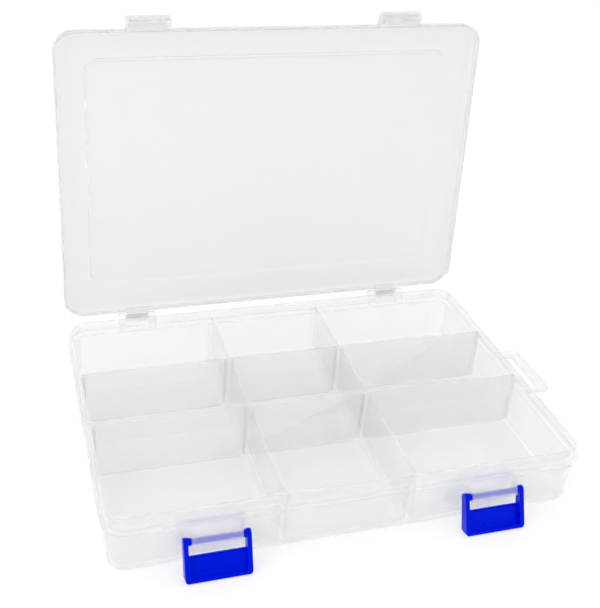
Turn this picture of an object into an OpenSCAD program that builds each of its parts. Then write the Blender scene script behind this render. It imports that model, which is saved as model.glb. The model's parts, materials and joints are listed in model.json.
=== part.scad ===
// Clear plastic tackle box, shown open: tray, hinged lid, two snap latches and
// six lift-out dividers. Origin at the centre of the underside, +X right, +Y back.

/* [Tray] */
// outside width of the rim upstand, mm
rim_w = 270; // [240:1:300]
// outside depth of the rim upstand, mm
rim_d = 185; // [170:1:210]
// height of the rim above the underside, mm
rim_h = 38; // [36:0.1:44]
// corner radius of the rim upstand, mm
rim_r = 11; // [8:0.5:14]
// thickness of the walls, mm
wall_t = 1.8; // [1.4:0.1:2.2]
// thickness of the floor, mm
floor_t = 1.6; // [1.2:0.1:2.4]
// how far the flange stands out past the upstand, mm
flange_out = 1.6; // [1.6:0.1:2.4]
// underside of the flange, mm
flange_z0 = 27.2; // [26:0.1:28]
// top of the flange, mm
flange_z1 = 30.5; // [30:0.1:30.6]

/* [Compartments] */
// position across of the left long wall, mm
long_x1 = -41.2; // [-50:0.1:-35]
// position across of the right long wall, mm
long_x2 = 32.2; // [25:0.1:50]
// thickness of the long walls, mm
long_t = 2; // [1.4:0.1:2.4]
// position in depth of the back row of dividers, mm
cross_y1 = 34.5; // [25:0.1:45]
// position in depth of the front row of dividers, mm
cross_y2 = -16.1; // [-25:0.1:0]
// thickness of a divider, mm
div_t = 1.5; // [1:0.1:1.8]
// top of the long walls and dividers, mm
div_z = 37.2; // [30:0.1:37.2]
// how far a guide rib stands out from its wall, mm
rib_out = 1.6; // [1:0.1:2.5]
// clearance of a divider in its guides, each side, mm
div_gap = 0.2; // [0.15:0.05:0.4]

/* [Lid] */
// opening angle of the lid in the drawn pose, degrees
lid_open = 92.8; // [80:1:110]
// thickness of the lid's top, mm
lid_t = 1.6; // [1.2:0.1:2]
// thickness of the lid's skirt, mm
skirt_t = 1.2; // [1:0.1:1.2]
// height of the raised centre panel of the lid, mm
panel_up = 0.8; // [0.4:0.1:1.2]
// margin between the lid's edge and its centre panel, mm
panel_in = 18.3; // [15:0.5:30]

/* [Hinges] */
// distance of each hinge from the middle, mm
hinge_x = 89.3; // [60:0.5:110]
// width of a hinge over its ears, mm
hinge_w = 24.8; // [20:0.5:30]
// how far the hinge axis lies behind the rim upstand, mm
hinge_back = 6.2; // [6.1:0.1:7]
// height of the hinge axis, mm
hinge_z = 34.7; // [34.4:0.1:34.9]
// diameter of the hinge rod, mm
hinge_d = 3; // [2.6:0.1:3.2]

/* [Latches] */
// distance of each latch from the middle, mm
latch_x = 78.6; // [60:0.5:100]
// distance of each lid tongue from the middle, mm
tongue_x = 80.2; // [78:0.1:80.2]
// width of a latch, mm
latch_w = 35.8; // [35:0.1:40]
// width of a latch arm, mm
arm_w = 2.5; // [2.2:0.1:4]
// length of a latch from its rod to its free end, mm
latch_l = 21.8; // [21.4:0.1:21.8]
// how far the latch rod lies in front of the rim upstand, mm
pin_out = 3.9; // [3.8:0.1:4.1]
// height of the latch rod, mm
pin_z = 19.8; // [19.7:0.1:20]
// diameter of the latch rod, mm
pin_d = 3.6; // [3:0.1:3.8]
// lean of a shut latch from upright, degrees
latch_shut = 20; // [19:1:21]
// angle of the open latch in the drawn pose, degrees from upright
latch_rest = 158.4; // [150:0.2:158.4]

/* [Hang tab] */
// how far the hang tab reaches from the middle, mm
tab_x = 153.4; // [148:0.2:160]
// front end of the hang tab, mm
tab_y0 = -25.5; // [-40:0.5:-20]
// back end of the hang tab, mm
tab_y1 = 18.7; // [10:0.5:30]

/* [Hidden] */
$fn = 64;
e = 0.01;
body_w = rim_w - 1.6;
body_d = rim_d - 1.6;
in_w = body_w - 2 * wall_t;
in_d = body_d - 2 * wall_t;
out_w = rim_w + 2 * flange_out;
out_d = rim_d + 2 * flange_out;
lid_z0 = flange_z1 + 0.3;
lid_in_z = rim_h + 0.5;
lid_z1 = lid_in_z + lid_t;
hinge_y = rim_d / 2 + hinge_back;
pin_y = -rim_d / 2 - pin_out;
arm_in = latch_w / 2 - arm_w;
lug_w = 2 * arm_in - 3.8;
clear = [0.88, 0.92, 0.94, 0.5];
blue = [0.02, 0.07, 0.85];

// a point in the plane of a shut latch: u up its length, n towards the box
function shut(u, n) = [pin_y - u * sin(latch_shut) + n * cos(latch_shut),
                       pin_z + u * cos(latch_shut) + n * sin(latch_shut)];

module plate(w, d, r, h) {
    linear_extrude(height = h) union() {
        square([w - 2 * r, d], center = true);
        square([w, d - 2 * r], center = true);
        for (x = [-1, 1], y = [-1, 1])
            translate([x * (w / 2 - r), y * (d / 2 - r)]) circle(r = r);
    }
}

// extrude a profile drawn in Y and Z along X, centred on x
module along_x(x, w) {
    translate([x - w / 2, 0, 0]) rotate([90, 0, 90]) linear_extrude(height = w) children();
}

// two guide ribs at a wall face; side is the direction they stand out in
module guides(x, y, side) {
    for (s = [-1, 1])
        translate([x + side * rib_out / 2, y + s * (div_t / 2 + div_gap + 0.6), (floor_t + div_z) / 2 - 0.25])
            cube([rib_out + 0.4, 1.2, div_z - floor_t + 0.5 - 1], center = true);
}

// clear block under the flange that a latch rod snaps into from below
module latch_block(x) {
    difference() {
        along_x(x, lug_w) union() {
            translate([pin_y, pin_z]) circle(r = pin_d / 2 + 1.5);
            polygon([[-rim_d / 2 + 1.2, flange_z1 - 0.2], [-out_d / 2, flange_z1 - 0.2],
                     [pin_y - 2.7, pin_z + 1.9], [pin_y, pin_z - 3.2], [-rim_d / 2 + 1.2, pin_z - 5]]);
        }
        translate([x - lug_w, pin_y, pin_z]) rotate([0, 90, 0])
            cylinder(r = pin_d / 2 + 0.1, h = 2 * lug_w);
        translate([x, pin_y, pin_z - 4]) cube([2 * lug_w, pin_d - 0.8, 8], center = true);
    }
}

// two ears and a rod that a hook of the lid turns on
module hinge_ears(x) {
    for (s = [-1, 1])
        along_x(x + s * (hinge_w / 2 - 2.4), 4.8) union() {
            translate([hinge_y, hinge_z]) circle(r = 3);
            polygon([[hinge_y - 8.4, flange_z0], [hinge_y - 1.5, flange_z0], [hinge_y + 2.9, hinge_z - 0.7],
                     [hinge_y - 2.9, hinge_z + 0.7], [hinge_y - 4.2, flange_z1 - 0.1],
                     [hinge_y - 8.4, flange_z1 - 0.1]]);
        }
    translate([x - hinge_w / 2 + 1, hinge_y, hinge_z]) rotate([0, 90, 0])
        cylinder(d = hinge_d, h = hinge_w - 2);
}

module hang_tab() {
    difference() {
        union() {
            translate([rim_w / 2, tab_y0, flange_z0 + 0.3]) cube([tab_x - rim_w / 2 - 4, tab_y1 - tab_y0, 2.7]);
            translate([rim_w / 2, tab_y0 + 4, flange_z0 + 0.3]) cube([tab_x - rim_w / 2, tab_y1 - tab_y0 - 8, 2.7]);
            for (y = [tab_y0 + 4, tab_y1 - 4])
                translate([tab_x - 4, y, flange_z0 + 0.3]) cylinder(r = 4, h = 2.7);
        }
        translate([out_w / 2 + 0.2, tab_y0 + 6, 0]) cube([tab_x - 6.6 - out_w / 2 - 0.2, tab_y1 - tab_y0 - 12, 40]);
    }
}

module tray() color(clear) {
    difference() {
        union() {
            plate(body_w, body_d, rim_r - 0.8, flange_z0 + e);
            translate([0, 0, flange_z0]) plate(out_w, out_d, rim_r + flange_out, flange_z1 - flange_z0);
            translate([0, 0, flange_z1 - e]) plate(rim_w, rim_d, rim_r, rim_h - flange_z1 + e);
            for (x = [-latch_x, latch_x]) latch_block(x);
            for (x = [-hinge_x, hinge_x]) hinge_ears(x);
            hang_tab();
        }
        translate([0, 0, floor_t]) plate(in_w, in_d, rim_r - 0.8 - wall_t, 50);
        translate([0, 0, 32]) plate(in_w + 1.6, in_d + 1.6, rim_r - wall_t, 50);
    }
    for (x = [long_x1, long_x2])
        translate([x - long_t / 2, -in_d / 2 - 0.5, floor_t - 0.5]) cube([long_t, in_d + 1, div_z - floor_t + 0.5]);
    for (y = [cross_y1, cross_y2]) {
        guides(-in_w / 2, y, 1);
        guides(long_x1 - long_t / 2, y, -1);
        guides(long_x1 + long_t / 2, y, 1);
        guides(long_x2 - long_t / 2, y, -1);
        guides(long_x2 + long_t / 2, y, 1);
        guides(in_w / 2, y, -1);
    }
}

// the tongue on the lid that a latch closes over
module tongue(x) {
    along_x(x, lug_w - 0.2) polygon([
        [-out_d / 2 + 0.7, lid_z1 - 0.3], [-out_d / 2 - 0.5, lid_z1 - 0.7],
        shut(17.4, 3.2), shut(16.6, 2.6), shut(16.6, -0.55), shut(12, -0.55), shut(11.2, 0.4),
        [-out_d / 2 - 0.5, lid_z0 + 0.6], [-out_d / 2 + 0.7, lid_z0 + 0.4]]);
}

module lid_hook(x) {
    difference() {
        along_x(x, hinge_w - 10.2) union() {
            translate([hinge_y, hinge_z]) circle(r = 3);
            polygon([[out_d / 2 - 0.7, hinge_z - 1.5], [out_d / 2 - 0.7, lid_z1 - 1.5],
                     [out_d / 2 + 1, lid_z1 - 1.5], [hinge_y + 0.6, hinge_z + 2.9], [hinge_y - 2.9, hinge_z - 0.4]]);
        }
        translate([x - hinge_w, hinge_y, hinge_z]) rotate([0, 90, 0])
            cylinder(r = hinge_d / 2 + 0.1, h = 2 * hinge_w);
        translate([x, hinge_y + 1, hinge_z - 4]) cube([2 * hinge_w, 2.2, 8], center = true);
    }
}

module lid_shut() {
    difference() {
        union() {
            translate([0, 0, lid_z0]) plate(out_w, out_d, rim_r + flange_out, lid_z1 - lid_z0);
            translate([0, 0, lid_z1 - e]) plate(out_w - 2 * panel_in, out_d - 2 * panel_in, 9, panel_up + e);
        }
        translate([0, 0, lid_z0 - 1])
            plate(out_w - 2 * skirt_t, out_d - 2 * skirt_t, rim_r + flange_out - skirt_t, lid_in_z - lid_z0 + 1);
        // the skirt is shorter along the back, where it swings past the upstand
        translate([-out_w / 2 - 1, out_d / 2 - 8, lid_z0 - 1])
            cube([out_w + 2, 10, hinge_z - 1.7 - lid_z0 + 1]);
        translate([0, 0, lid_in_z - e])
            plate(out_w - 2 * panel_in - 3, out_d - 2 * panel_in - 3, 7.5, panel_up + e);
    }
    for (x = [-tongue_x, tongue_x]) tongue(x);
    for (x = [-hinge_x, hinge_x]) lid_hook(x);
}

module lid() color(clear)
    translate([0, hinge_y, hinge_z]) rotate([-lid_open, 0, 0]) translate([0, -hinge_y, -hinge_z]) lid_shut();

// a latch lying in its own plane: length along Y, box side up
module latch_flat() {
    intersection() {
        translate([0, (latch_l - 2.6) / 2, -5]) plate(latch_w, latch_l + 2.6, 2.4, 10);
        union() {
            for (s = [-1, 1]) along_x(s * (latch_w - arm_w) / 2, arm_w) union() {
                translate([0, -0.2]) circle(r = 2.4);
                polygon([[0, -2.6], [5, -2.7], [latch_l - 3.6, -3.8], [latch_l - 2.2, -3.5],
                         [latch_l - 0.2, 1.2], [latch_l, 2.2], [0, 2.2]]);
            }
            along_x(0, 2 * arm_in + 1) polygon([[8.6, -2.7], [latch_l - 3.6, -3.7], [latch_l - 2.3, -3.4],
                [latch_l - 0.3, 1.2], [latch_l - 0.2, 2], [17, 2], [17, -0.9], [8.6, -0.9]]);
        }
    }
    translate([-arm_in - 1, 0, 0]) rotate([0, 90, 0]) cylinder(d = pin_d, h = 2 * arm_in + 2);
}

module latch(x) color(blue)
    translate([x, pin_y, pin_z]) rotate([latch_rest, 0, 0]) rotate([90, 0, 180]) latch_flat();

module divider(x0, x1, y) color(clear)
    translate([x0 + 0.25, y - div_t / 2, floor_t + 0.3])
        cube([x1 - x0 - 0.5, div_t, div_z - floor_t - 0.3]);

module divider_column(column, y) {
    if (column == 0) divider(-in_w / 2, long_x1 - long_t / 2, y);
    if (column == 1) divider(long_x1 + long_t / 2, long_x2 - long_t / 2, y);
    if (column == 2) divider(long_x2 + long_t / 2, in_w / 2, y);
}

module latch_left() latch(-latch_x);
module latch_right() latch(latch_x);
module divider_back_left() divider_column(0, cross_y1);
module divider_back_middle() divider_column(1, cross_y1);
module divider_back_right() divider_column(2, cross_y1);
module divider_front_left() divider_column(0, cross_y2);
module divider_front_middle() divider_column(1, cross_y2);
module divider_front_right() divider_column(2, cross_y2);

tray();
lid();
latch_left();
latch_right();
divider_back_left();
divider_back_middle();
divider_back_right();
divider_front_left();
divider_front_middle();
divider_front_right();
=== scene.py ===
import bpy, bmesh, json, math
from mathutils import Matrix, Vector


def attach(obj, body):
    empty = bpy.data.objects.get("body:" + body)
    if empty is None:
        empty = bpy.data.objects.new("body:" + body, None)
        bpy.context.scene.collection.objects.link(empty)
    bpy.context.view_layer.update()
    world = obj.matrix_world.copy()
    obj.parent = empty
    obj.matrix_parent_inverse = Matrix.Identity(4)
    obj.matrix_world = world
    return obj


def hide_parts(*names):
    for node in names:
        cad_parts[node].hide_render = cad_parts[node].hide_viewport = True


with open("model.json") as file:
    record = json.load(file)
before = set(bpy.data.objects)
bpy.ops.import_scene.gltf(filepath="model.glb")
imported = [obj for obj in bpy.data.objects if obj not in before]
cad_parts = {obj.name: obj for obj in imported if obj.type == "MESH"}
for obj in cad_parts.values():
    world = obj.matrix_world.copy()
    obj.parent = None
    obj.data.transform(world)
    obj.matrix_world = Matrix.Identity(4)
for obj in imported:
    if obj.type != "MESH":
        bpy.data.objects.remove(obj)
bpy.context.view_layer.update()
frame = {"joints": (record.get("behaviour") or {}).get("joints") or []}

# ---------------------------------------------------------------- tray
# The tray is one injection moulding in clear polypropylene: floor, drafted side walls, a square
# flange, a thin upstand for the lid, and two long walls that part it into three columns.
# The walls meet the floor in a fillet, so that small tackle can be swept out with a finger.

MM = 0.001
RIM_X, RIM_Y, RIM_R = 135.0, 92.5, 11.0      # half width, half depth and corner radius of the upstand
FLOOR_Z, LONG_Z = 1.6, 37.2
LONG_WALLS = (-41.2, 32.2)                   # where the two long walls stand across the tray


def linear(colour):
    """An sRGB hex colour as linear red, green, blue and 1."""
    parts = [int(colour[i:i + 2], 16) / 255 for i in (1, 3, 5)]
    return [c / 12.92 if c <= 0.04045 else ((c + 0.055) / 1.055) ** 2.4 for c in parts] + [1.0]


def add(tree, kind, sockets=None, **settings):
    """A new node, with its settings, and its sockets set to values or linked from other sockets."""
    node = tree.nodes.new(kind)
    for name, value in settings.items():
        setattr(node, name, value)
    for name, value in (sockets or {}).items():
        if isinstance(value, bpy.types.NodeSocket):
            tree.links.new(value, node.inputs[name])
        else:
            node.inputs[name].default_value = value
    return node


def ring(x0, x1, y0, y1, radii, z, steps=10):
    """Points round a rectangle at height z; radii go back right, back left, front left, front right."""
    points = []
    for (x, y, turn), r in zip(((x1, y1, 0), (x0, y1, 90), (x0, y0, 180), (x1, y0, 270)), radii):
        middle = (x - r if x == x1 else x + r, y - r if y == y1 else y + r)
        for i in range(steps + 1):
            a = math.radians(turn + 90 * i / steps)
            points.append((middle[0] + r * math.cos(a), middle[1] + r * math.sin(a), z))
    return points


def new_piece(name, mesh):
    piece = bpy.data.objects.new(name, mesh)
    bpy.context.scene.collection.objects.link(piece)
    return piece


def loft(name, rings):
    """A closed skin through rings of points in millimetres, lowest ring first."""
    count = len(rings[0])
    points = [tuple(v * MM for v in p) for loop in rings for p in loop]
    faces = [tuple(reversed(range(count))), tuple((len(rings) - 1) * count + i for i in range(count))]
    for level in range(len(rings) - 1):
        low, high = level * count, (level + 1) * count
        for i in range(count):
            j = (i + 1) % count
            faces.append((low + i, low + j, high + j, high + i))
    mesh = bpy.data.meshes.new(name)
    mesh.from_pydata(points, [], faces)
    return new_piece(name, mesh)


def settle(piece):
    """Replaces a piece's mesh with what its modifiers make of it."""
    graph = bpy.context.evaluated_depsgraph_get()
    mesh = bpy.data.meshes.new_from_object(piece.evaluated_get(graph))
    piece.modifiers.clear()
    piece.data = mesh


def combine(piece, tool, operation):
    """Unites a piece with a tool, or cuts the tool out of it, and takes the tool away."""
    step = piece.modifiers.new("combine", "BOOLEAN")
    step.operation, step.object, step.solver = operation, tool, "MANIFOLD"
    settle(piece)
    bpy.data.objects.remove(tool)


def around(out, z, corner=None):
    """A ring that stands out from the upstand's outside by out."""
    r = RIM_R + out if corner is None else corner
    return ring(-RIM_X - out, RIM_X + out, -RIM_Y - out, RIM_Y + out, (r,) * 4, z)


quarter = [math.radians(a) for a in (0, 15, 30, 45, 60, 75, 90)]
outside = [around(-1.5 - 3.2 * (1 - math.sin(a)), 3.2 * (1 - math.cos(a))) for a in quarter]
outside += [around(out, z) for out, z in (
    (-0.82, 26.6), (-0.7, 27.05), (-0.4, 27.2), (1.3, 27.2), (1.5, 27.27), (1.6, 27.5), (1.6, 30.1),
    (1.52, 30.38), (1.3, 30.48), (0.3, 30.5), (0.08, 30.58), (0.0, 30.85),
    (-0.1, 36.9), (-0.2, 37.4), (-0.45, 37.75), (-0.85, 37.95))]
tray = loft("tray_moulding", outside)

# each column is cut out as one drafted pocket; `wall` and `side` say how far it keeps from the
# upstand's outside and from the middle of a long wall at each height
FILLET = 3.6
profile = [(3.1 + FILLET * (1 - math.sin(a)), 1.35 + FILLET * (1 - math.sin(a)),
            FLOOR_Z + FILLET * (1 - math.cos(a))) for a in quarter]
profile += [(2.6, 1.0, 31.6), (2.35, 0.99, 32.0), (1.85, 0.98, 32.3), (1.75, 0.95, LONG_Z - 0.7),
            (1.75, 0.8, LONG_Z - 0.3), (1.75, 0.5, LONG_Z - 0.05), (1.74, 0.2, LONG_Z), (1.74, -0.4, LONG_Z),
            (1.72, -0.4, 37.5), (1.55, -0.4, 37.75), (1.2, -0.4, 37.95), (1.1, -0.4, 40.0)]
columns = ((None, LONG_WALLS[0]), (LONG_WALLS[0], LONG_WALLS[1]), (LONG_WALLS[1], None))
for left, right in columns:
    rings = []
    for wall, side, z in profile:
        x0 = -RIM_X + wall if left is None else left + side
        x1 = RIM_X - wall if right is None else right - side
        outer = max(RIM_R - wall, 1.2)
        inner = max(2.4 - max(side - 1.0, 0), 0.5) if side > 0.6 else 0.05
        l, r = (outer if left is None else inner), (outer if right is None else inner)
        rings.append(ring(x0, x1, -RIM_Y + wall, RIM_Y - wall, (r, l, l, r), z))
    combine(tray, loft("pocket", rings), "DIFFERENCE")

# ---------------------------------------------------------------- guide ribs
# Short upright ribs moulded on the walls in pairs. Each pair holds the end of one lift-out
# divider, two rows of them across the three columns.

ROWS = (34.5, -16.1)                         # where the two rows of dividers stand in depth
INSIDE_X = 132.4                             # half the width inside the tray
faces = [(0.2 - INSIDE_X, 0.0)]              # where each wall face is, and which way it looks
for x in LONG_WALLS:
    faces += [(x - 1.1, math.pi), (x + 1.1, 0.0)]
faces.append((INSIDE_X - 0.2, math.pi))
spots = [(x * MM, (y + s * 1.6) * MM, 18.6 * MM) for y in ROWS for x, _ in faces for s in (-1, 1)]
mesh = bpy.data.meshes.new("guide_ribs")
mesh.from_pydata(spots, [], [])
turns = mesh.attributes.new("turn", "FLOAT", "POINT")
turns.data.foreach_set("value", [turn for _ in ROWS for _, turn in faces for _ in (0, 1)])
ribs = new_piece("guide_ribs", mesh)

clear_plastic = bpy.data.materials.new("clear_polypropylene_moulded")

tree = bpy.data.node_groups.new("ribs_on_spots", "GeometryNodeTree")
tree.interface.new_socket("Geometry", in_out="INPUT", socket_type="NodeSocketGeometry")
sizes = {}
for label, value in (("Stand out", 1.6 * MM), ("Thickness", 1.1 * MM), ("Height", 35.0 * MM)):
    socket = tree.interface.new_socket(label, in_out="INPUT", socket_type="NodeSocketFloat")
    socket.default_value = value
    sizes[label] = (socket.identifier, value)
tree.interface.new_socket("Geometry", in_out="OUTPUT", socket_type="NodeSocketGeometry")
given = add(tree, "NodeGroupInput")
doubled = add(tree, "ShaderNodeMath", {0: given.outputs["Stand out"], 1: 2.0}, operation="MULTIPLY")
size = add(tree, "ShaderNodeCombineXYZ", {"X": doubled.outputs[0], "Y": given.outputs["Thickness"],
                                          "Z": given.outputs["Height"]})
block = add(tree, "GeometryNodeMeshCube", {"Size": size.outputs[0], "Vertices X": 2, "Vertices Y": 2,
                                           "Vertices Z": 2})
turn = add(tree, "GeometryNodeInputNamedAttribute", {"Name": "turn"}, data_type="FLOAT")
spin = add(tree, "ShaderNodeCombineXYZ", {"Z": turn.outputs["Attribute"]})
placed = add(tree, "GeometryNodeInstanceOnPoints", {
    "Points": given.outputs["Geometry"], "Instance": block.outputs["Mesh"], "Rotation": spin.outputs[0]})
real = add(tree, "GeometryNodeRealizeInstances", {"Geometry": placed.outputs["Instances"]})
coated = add(tree, "GeometryNodeSetMaterial", {
    "Geometry": real.outputs["Geometry"], "Material": clear_plastic})
add(tree, "NodeGroupOutput", {"Geometry": coated.outputs["Geometry"]})
growth = ribs.modifiers.new("ribs_on_spots", "NODES")
growth.node_group = tree
for identifier, value in sizes.values():
    growth[identifier] = value
settle(ribs)
soften = ribs.modifiers.new("soften", "BEVEL")
soften.width, soften.segments = 0.25 * MM, 2
settle(ribs)
combine(tray, ribs, "UNION")

# ---------------------------------------------------------------- latch blocks
# Two clear blocks under the front flange, moulded with the tray. The rod of each latch snaps up
# into a round channel that is open below.

joints = {joint["name"]: joint for joint in frame["joints"]}
LATCH_X, PIN_Y, PIN_Z = (v / MM for v in joints["latch_right_hinge"]["pos_m"])
BLOCK_HALF = 13.5                            # half the width of a block


def prism(name, outline, x0, x1, soft=0.3):
    """A block with an outline in Y and Z, anticlockwise as seen from +X, and softened edges."""
    mesh = bpy.data.meshes.new(name)
    shape = bmesh.new()
    ends = [[shape.verts.new((x * MM, y * MM, z * MM)) for y, z in outline] for x in (x0, x1)]
    shape.faces.new(reversed(ends[0]))
    shape.faces.new(ends[1])
    for i in range(len(outline)):
        j = (i + 1) % len(outline)
        shape.faces.new((ends[0][i], ends[0][j], ends[1][j], ends[1][i]))
    if soft:
        rims = [e for e in shape.edges if e.verts[0].co.x == e.verts[1].co.x]
        bmesh.ops.bevel(shape, geom=rims, offset=soft * MM, segments=3, profile=0.5, affect="EDGES")
    bmesh.ops.recalc_face_normals(shape, faces=shape.faces)
    shape.to_mesh(mesh)
    shape.free()
    return new_piece(name, mesh)


def arc(y, z, r, start, end, steps=16):
    return [(y + r * math.cos(math.radians(start + (end - start) * i / steps)),
             z + r * math.sin(math.radians(start + (end - start) * i / steps))) for i in range(steps + 1)]


for side in (-1, 1):
    x = side * LATCH_X
    outline = [(-91.4, 30.2), (-94.0, 30.2), (-94.6, 29.2), (-98.5, 22.6)]
    outline += arc(PIN_Y, PIN_Z, 3.3, 155, 262) + [(-95.2, 16.4), (-91.4, 15.0)]
    block = prism("latch_block", outline, x - BLOCK_HALF, x + BLOCK_HALF, 0.5)
    combine(block, prism("channel", arc(PIN_Y, PIN_Z, 1.9, 0, 352.5, 47), x - 20, x + 20, 0), "DIFFERENCE")
    mouth = [(PIN_Y - 1.4, PIN_Z - 8), (PIN_Y + 1.4, PIN_Z - 8), (PIN_Y + 1.4, PIN_Z), (PIN_Y - 1.4, PIN_Z)]
    combine(block, prism("mouth", mouth, x - 20, x + 20, 0), "DIFFERENCE")
    combine(tray, block, "UNION")

# ---------------------------------------------------------------- hinge ears
# Two pairs of clear ears behind the back flange, each pair with a round rod between them,
# moulded with the tray. The lid's hooks clip over the rods.

HINGE_X = 89.3                               # how far each hinge is from the middle
HINGE_Y, HINGE_Z = (v / MM for v in joints["lid_hinge"]["pos_m"][1:])
for side in (-1, 1):
    for ear in (-1, 1):
        x = side * HINGE_X + ear * 10.0
        outline = [(90.6, 27.4), (97.0, 27.4)] + arc(HINGE_Y, HINGE_Z, 3.0, -20, 165)
        outline += [(94.6, 30.4), (90.6, 30.4)]
        combine(tray, prism("ear", outline, x - 2.4, x + 2.4, 0.4), "UNION")
    x = side * HINGE_X
    combine(tray, prism("rod", arc(HINGE_Y, HINGE_Z, 1.5, 0, 348.75, 31), x - 10, x + 10, 0), "UNION")

# ---------------------------------------------------------------- hang tab
# A flat loop at flange height on the right side, moulded with the tray, for a display hook.

tab = loft("tab", [ring(134.2, 153.4 - e, -25.5 + e, 18.7 - e, (4.0, 0.2, 0.2, 4.0), z)
                   for e, z in ((0.7, 27.5), (0.2, 27.7), (0, 28.1), (0, 29.6), (0.2, 30.0), (0.7, 30.2))])
slot = loft("slot", [ring(137.3 - e, 146.3 + e, -19.0 - e, 12.2 + e, (1.6,) * 4, z)
                     for e, z in ((0.6, 27.4), (0.5, 27.55), (0.1, 28.0), (0.1, 29.7), (0.5, 30.1),
                                  (0.6, 30.3))])
combine(tab, slot, "DIFFERENCE")
combine(tray, tab, "UNION")


def finish_shell(piece, material, body, *nodes):
    """Smooth shading that keeps flats flat, one material, and the piece's place in the frame."""
    mesh = piece.data
    shape = bmesh.new()
    shape.from_mesh(mesh)
    bmesh.ops.remove_doubles(shape, verts=shape.verts, dist=0.00001)
    bmesh.ops.dissolve_degenerate(shape, dist=0.00001, edges=shape.edges)
    shape.to_mesh(mesh)
    shape.free()
    mesh.shade_smooth()
    mesh.set_sharp_from_angle(angle=math.radians(32))
    flats = piece.modifiers.new("flats", "WEIGHTED_NORMAL")
    flats.keep_sharp = True
    settle(piece)
    piece.data.materials.clear()
    piece.data.materials.append(material)
    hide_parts(*nodes)
    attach(piece, body)


# Clear polypropylene, injection moulded: slightly milky, with a fine haze and the faint waviness
# of a cooled skin. Part of the light goes straight through, which keeps thick edges pale.
clear_plastic.use_nodes = True
tree = clear_plastic.node_tree
tree.nodes.clear()
place = add(tree, "ShaderNodeTexCoord")
# cooling ripples about 12 mm across
ripple = add(tree, "ShaderNodeTexNoise", {"Vector": place.outputs["Object"], "Scale": 80.0, "Detail": 2.0})
# haze in patches of about 3 mm
haze = add(tree, "ShaderNodeTexNoise", {"Vector": place.outputs["Object"], "Scale": 330.0, "Detail": 3.0})
rough = add(tree, "ShaderNodeMapRange", {"Value": haze.outputs["Fac"], "From Min": 0.3, "From Max": 0.7,
                                         "To Min": 0.1, "To Max": 0.17})
tint = add(tree, "ShaderNodeMix", {
    "Factor": haze.outputs["Fac"], "A": linear("#FAFBFB"), "B": linear("#FCFCFC")}, data_type="RGBA")
bump = add(tree, "ShaderNodeBump", {"Height": ripple.outputs["Fac"], "Strength": 0.06, "Distance": 0.0006})
shader = add(tree, "ShaderNodeBsdfPrincipled", {
    "Base Color": tint.outputs["Result"], "Roughness": rough.outputs["Result"], "IOR": 1.49,
    "Transmission Weight": 0.66, "Alpha": 0.44, "Normal": bump.outputs["Normal"]})
add(tree, "ShaderNodeOutputMaterial", {"Surface": shader.outputs["BSDF"]})

finish_shell(tray, clear_plastic, "tray_body", "tray")

# ---------------------------------------------------------------- lid
# The lid is a second clear moulding: a shallow cap with a skirt that goes over the upstand, a
# raised centre panel that stiffens it, two hooks at the back and two tongues at the front.
# It is shaped shut, then turned back on its hinge to where it stands open.

OPEN = math.radians(-joints["lid_hinge"]["range_deg"][0])
cap = [around(out, z, 11.0 + out) for out, z in ((1.0, 30.8), (1.45, 30.85), (1.6, 31.1))]
cap += [around(-1.7 + 3.3 * math.sin(a), 36.8 + 3.3 * math.cos(a), 9.4 + 3.3 * math.sin(a))
        for a in reversed(quarter)]
cap += [around(out, z, 9.0 + out + 16.7) for out, z in (
    (-15.9, 40.1), (-16.3, 40.16), (-16.7, 40.5), (-17.1, 40.84), (-17.6, 40.9))]
lid = loft("lid_moulding", cap)
hollow = [around(out, z, 11.2 + out) for out, z in ((0.55, 30.0), (0.52, 30.9), (0.42, 31.2))]
hollow += [around(-1.7 + 2.1 * math.sin(a), 36.4 + 2.1 * math.cos(a), 9.4 + 2.1 * math.sin(a))
           for a in reversed(quarter)]
hollow += [around(out, z, 7.5 + out + 18.2) for out, z in (
    (-17.4, 38.5), (-17.8, 38.56), (-18.2, 38.9), (-18.6, 39.24), (-19.1, 39.3))]
combine(lid, loft("hollow", hollow), "DIFFERENCE")
# the skirt is shorter along the back, where it swings past the upstand
relief = [ring(-140.0, 140.0, 86.0, 100.0, (0.5,) * 4, z) for z in (29.0, 33.05)]
combine(lid, loft("relief", relief), "DIFFERENCE")


LEAN = math.radians(20)                      # how far a shut latch leans out from upright
TONGUE_X, TONGUE_HALF, HOOK_HALF = 80.2, 13.3, 7.1


def shut(u, n):
    """A point in the plane of a shut latch: u up its length, n towards the box."""
    return (PIN_Y - u * math.sin(LEAN) + n * math.cos(LEAN), PIN_Z + u * math.cos(LEAN) + n * math.sin(LEAN))


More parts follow.
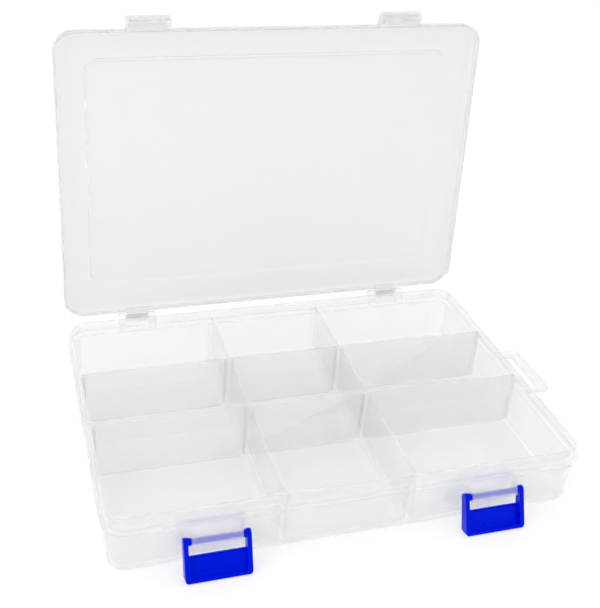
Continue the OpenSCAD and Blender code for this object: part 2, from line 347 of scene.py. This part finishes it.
for side in (-1, 1):
    x = side * TONGUE_X
    outline = [(-93.5, 39.6), (-94.8, 39.3), shut(17.3, 3.1), shut(16.7, 2.6), shut(16.6, 2.1),
               shut(16.6, 0.0), shut(16.3, -0.45),
               shut(15.8, -0.55), shut(12.4, -0.55), shut(11.8, -0.3), shut(11.4, 0.3),
               (-94.8, 31.4), (-93.5, 31.2)]
    tongue = prism("tongue", outline, x - TONGUE_HALF, x + TONGUE_HALF, 0.6)
    pocket = [(-94.9, 30.2), (-99.3, 30.2), (-100.9, 33.4), (-100.9, 34.6), (-98.6, 35.6), (-94.9, 37.8)]
    combine(tongue, prism("pocket", list(reversed(pocket)), x - 11.6, x + 11.6, 0.5), "DIFFERENCE")
    combine(lid, tongue, "UNION")
    x = side * HINGE_X
    outline = [(93.6, 33.4), (95.4, 33.4)] + arc(HINGE_Y, HINGE_Z, 3.0, 205, 440, 24)
    outline += [(95.0, 38.4), (93.6, 38.4)]
    hook = prism("hook", outline, x - HOOK_HALF, x + HOOK_HALF, 0.4)
    combine(hook, prism("bore", arc(HINGE_Y, HINGE_Z, 1.6, 0, 348.75, 31), x - 20, x + 20, 0), "DIFFERENCE")
    mouth = [(HINGE_Y - 0.1, 26.0), (HINGE_Y + 2.1, 26.0), (HINGE_Y + 2.1, HINGE_Z),
             (HINGE_Y - 0.1, HINGE_Z)]
    combine(hook, prism("mouth", mouth, x - 20, x + 20, 0), "DIFFERENCE")
    combine(lid, hook, "UNION")

axis = Matrix.Translation((0, HINGE_Y * MM, HINGE_Z * MM))
lid.data.transform(axis @ Matrix.Rotation(-OPEN, 4, "X") @ axis.inverted())
# the same plastic as the tray, with painted shade: a greyer base colour and less light straight through
# darken the lid, which stands in the open and gets more light than the tray's inside
shaded_lid_plastic = clear_plastic.copy()
shaded_lid_plastic.name = "clear_polypropylene_lid_painted_shade"
shaded_lid_plastic.node_tree.nodes["Principled BSDF"].inputs["Alpha"].default_value = 0.56
# painted shade: the lid's base colours, greyer than the tray's
for end, colour in (("A", "#E8E8E9"), ("B", "#EBEBEC")):
    shaded_lid_plastic.node_tree.nodes["Mix"].inputs[end].default_value = linear(colour)
finish_shell(lid, shaded_lid_plastic, "lid_body", "lid")

# ---------------------------------------------------------------- dividers
# Six thin clear plates with a rounded top edge and rounded lower corners that clear the fillets
# of the floor. Each drops into two pairs of guide ribs.

LONG_HALF = 1.0                              # half the thickness of a long wall at its top
spans = {"left": (-INSIDE_X, LONG_WALLS[0] - LONG_HALF),
         "middle": (LONG_WALLS[0] + LONG_HALF, LONG_WALLS[1] - LONG_HALF),
         "right": (LONG_WALLS[1] + LONG_HALF, INSIDE_X)}
for row, y in zip(("back", "front"), ROWS):
    for column, (low, high) in spans.items():
        x0, x1, z0, z1 = low + 0.3, high - 0.3, FLOOR_Z + 0.35, LONG_Z
        outline = []                         # the plate's outline in X and Z, anticlockwise from the front
        for cx, cz, r, start in ((x0 + 4.9, z0 + 4, 4.2, 180), (x1 - 4.9, z0 + 4, 4.2, 270),
                                 (x1 - 0.8, z1 - 0.8, 0.8, 0), (x0 + 0.8, z1 - 0.8, 0.8, 90)):
            for i in range(9):
                a = math.radians(start + 90 * i / 8)
                outline.append((cx + r * math.cos(a), cz + r * math.sin(a)))
        rings = []
        middle_x, middle_z = (x0 + x1) / 2, (z0 + z1) / 2
        for depth, inset in ((-0.75, 0.35), (-0.68, 0.12), (-0.5, 0.0),
                             (0.5, 0.0), (0.68, 0.12), (0.75, 0.35)):
            fit_x, fit_z = 1 - inset / (x1 - middle_x), 1 - inset / (z1 - middle_z)
            rings.append([(middle_x + (px - middle_x) * fit_x, y - depth,
                           middle_z + (pz - middle_z) * fit_z) for px, pz in outline])
        plate = loft(f"divider_{row}_{column}_plate", rings)
        finish_shell(plate, clear_plastic, f"divider_{row}_{column}_body", f"divider_{row}_{column}")

# ---------------------------------------------------------------- latches
# Each latch is a blue moulding: two arms on a round rod, an open window beside the rod, and
# beyond it a shallow pan whose lip at the free end snaps over the lid's tongue.

blue_plastic = bpy.data.materials.new("blue_polypropylene_gloss")
blue_plastic.use_nodes = True
tree = blue_plastic.node_tree
tree.nodes.clear()
place = add(tree, "ShaderNodeTexCoord")
# flow marks a few millimetres long, and a fine mould grain of about 0.4 mm
flow = add(tree, "ShaderNodeTexNoise", {"Vector": place.outputs["Object"], "Scale": 220.0, "Detail": 3.0})
grain = add(tree, "ShaderNodeTexNoise", {"Vector": place.outputs["Object"], "Scale": 2400.0, "Detail": 2.0})
tone = add(tree, "ShaderNodeMix", {
    "Factor": flow.outputs["Fac"], "A": linear("#000DD6"), "B": linear("#000FDE")}, data_type="RGBA")
rough = add(tree, "ShaderNodeMapRange", {"Value": flow.outputs["Fac"], "From Min": 0.3, "From Max": 0.7,
                                         "To Min": 0.26, "To Max": 0.36})
bump = add(tree, "ShaderNodeBump", {"Height": grain.outputs["Fac"], "Strength": 0.08, "Distance": 0.0001})
shader = add(tree, "ShaderNodeBsdfPrincipled", {
    "Base Color": tone.outputs["Result"], "Roughness": rough.outputs["Result"], "IOR": 1.49,
    "Specular IOR Level": 0.3, "Specular Tint": (0.0, 0.3, 1.0, 1.0),
    "Normal": bump.outputs["Normal"]})
add(tree, "ShaderNodeOutputMaterial", {"Surface": shader.outputs["BSDF"]})

REST = LEAN - math.radians(joints["latch_right_hinge"]["range_deg"][0])
LATCH_HALF, BETWEEN_ARMS = 17.9, 15.4        # half the width of a latch, and half the gap between its arms
for name, side in (("left", -1), ("right", 1)):
    # shaped lying flat: X across, Y along its length from the rod, Z towards the box
    outline = arc(0.0, -0.2, 2.4, 90, 270) + [(5.0, -2.7), (17.9, -3.75), (18.7, -3.75), (19.4, -3.4),
                                              (21.5, 1.3), (21.7, 1.8), (21.5, 2.2)]
    latch = prism("latch", outline, -LATCH_HALF, LATCH_HALF, 0)
    pan = [(-5.0, -5.0), (8.6, -5.0), (8.6, -1.7), (9.4, -0.9), (16.9, -0.9), (17.5, -0.8), (18.1, -0.4),
           (18.7, 0.25), (19.2, 1.1), (19.6, 2.0), (19.8, 2.6), (19.8, 5.0), (-5.0, 5.0)]
    combine(latch, prism("pan", pan, -BETWEEN_ARMS, BETWEEN_ARMS, 0), "DIFFERENCE")
    corners = [ring(-LATCH_HALF, LATCH_HALF, -2.7, 21.75, (2.4, 2.4, 0.8, 0.8), z) for z in (-6.0, 6.0)]
    combine(latch, loft("corners", corners), "INTERSECT")
    soften = latch.modifiers.new("soften", "BEVEL")
    soften.width, soften.segments, soften.limit_method = 0.3 * MM, 2, "ANGLE"
    soften.angle_limit = math.radians(40)
    settle(latch)
    combine(latch, prism("rod", arc(0, 0, 1.8, 0, 348.75, 31), -15.7, 15.7, 0), "UNION")
    for arm in (-1, 1):
        low, high = sorted((arm * 13.8, arm * 15.7))
        combine(latch, prism("collar", arc(0, 0, 2.1, 0, 348.75, 31), low, high, 0.2), "UNION")
    latch.name = f"latch_{name}_moulding"
    stand = Matrix.Translation((side * LATCH_X * MM, PIN_Y * MM, PIN_Z * MM))
    latch.data.transform(stand @ Matrix.Rotation(REST, 4, "X") @ Matrix.Rotation(math.pi, 4, "Z")
                         @ Matrix.Rotation(math.pi / 2, 4, "X"))
    finish_shell(latch, blue_plastic, f"latch_{name}_body", f"latch_{name}")

# ---------------------------------------------------------------- floor, light and camera
# A plain white floor under soft even light, a little brighter from above than from the sides. The
# paper glows slightly, so that the light which clear walls hold back leaves no dark patch.

mesh = bpy.data.meshes.new("floor")
REACH, DROP = 6.0, -0.0002                   # half the floor's side, and its height, in metres
mesh.from_pydata([(x * REACH, y * REACH, DROP) for x, y in ((-1, -1), (1, -1), (1, 1), (-1, 1))], [],
                 [(0, 1, 2, 3)])
floor = new_piece("floor", mesh)
paper = bpy.data.materials.new("white_backdrop_paper")
paper.use_nodes = True
tree = paper.node_tree
tree.nodes.clear()
shader = add(tree, "ShaderNodeBsdfPrincipled", {
    "Base Color": linear("#BEBEBE"), "Roughness": 0.9, "Specular IOR Level": 0.1,
    "Emission Color": (1.0, 1.0, 1.0, 1.0), "Emission Strength": 0.5})
add(tree, "ShaderNodeOutputMaterial", {"Surface": shader.outputs["BSDF"]})
mesh.materials.append(paper)

world = bpy.data.worlds.new("studio")
bpy.context.scene.world = world
world.use_nodes = True
tree = world.node_tree
tree.nodes.clear()
place = add(tree, "ShaderNodeTexCoord")
height = add(tree, "ShaderNodeSeparateXYZ", {"Vector": place.outputs["Generated"]})
fade = add(tree, "ShaderNodeMapRange", {"Value": height.outputs["Z"], "From Min": -0.1, "From Max": 0.7,
                                        "To Min": 0.74, "To Max": 0.95})
sky = add(tree, "ShaderNodeBackground", {"Color": (1, 1, 1, 1), "Strength": fade.outputs["Result"]})
add(tree, "ShaderNodeOutputWorld", {"Surface": sky.outputs["Background"]})

for name, spot, aim, width, power in (("top_softbox", (-0.1, 0.3, 1.5), (0, 0, 0), 1.8, 3),
                                      ("left_softbox", (-1.3, -0.6, 0.9), (0, 0, 0.05), 0.9, 4)):
    lamp = bpy.data.lights.new(name, "AREA")
    lamp.shape, lamp.size, lamp.size_y, lamp.energy = "RECTANGLE", width, width, power
    holder = bpy.data.objects.new(name, lamp)
    bpy.context.scene.collection.objects.link(holder)
    holder.location = spot
    holder.rotation_euler = (Vector(aim) - Vector(spot)).to_track_quat("-Z", "Y").to_euler()

lens = bpy.data.cameras.new("camera")
lens.sensor_fit, lens.sensor_width, lens.lens = "HORIZONTAL", 36.0, 58.705
lens.shift_x, lens.shift_y = 0.04724, -0.10244
camera = bpy.data.objects.new("camera", lens)
bpy.context.scene.collection.objects.link(camera)
camera.location = (-0.17439, -0.45915, 0.3863)
camera.rotation_euler = [math.radians(a) for a in (62.524, -3.363, -15.787)]
bpy.context.scene.camera = camera
bpy.context.scene.view_settings.view_transform = "Standard"
bpy.context.scene.cycles.max_bounces = 32
bpy.context.scene.cycles.transmission_bounces = 32
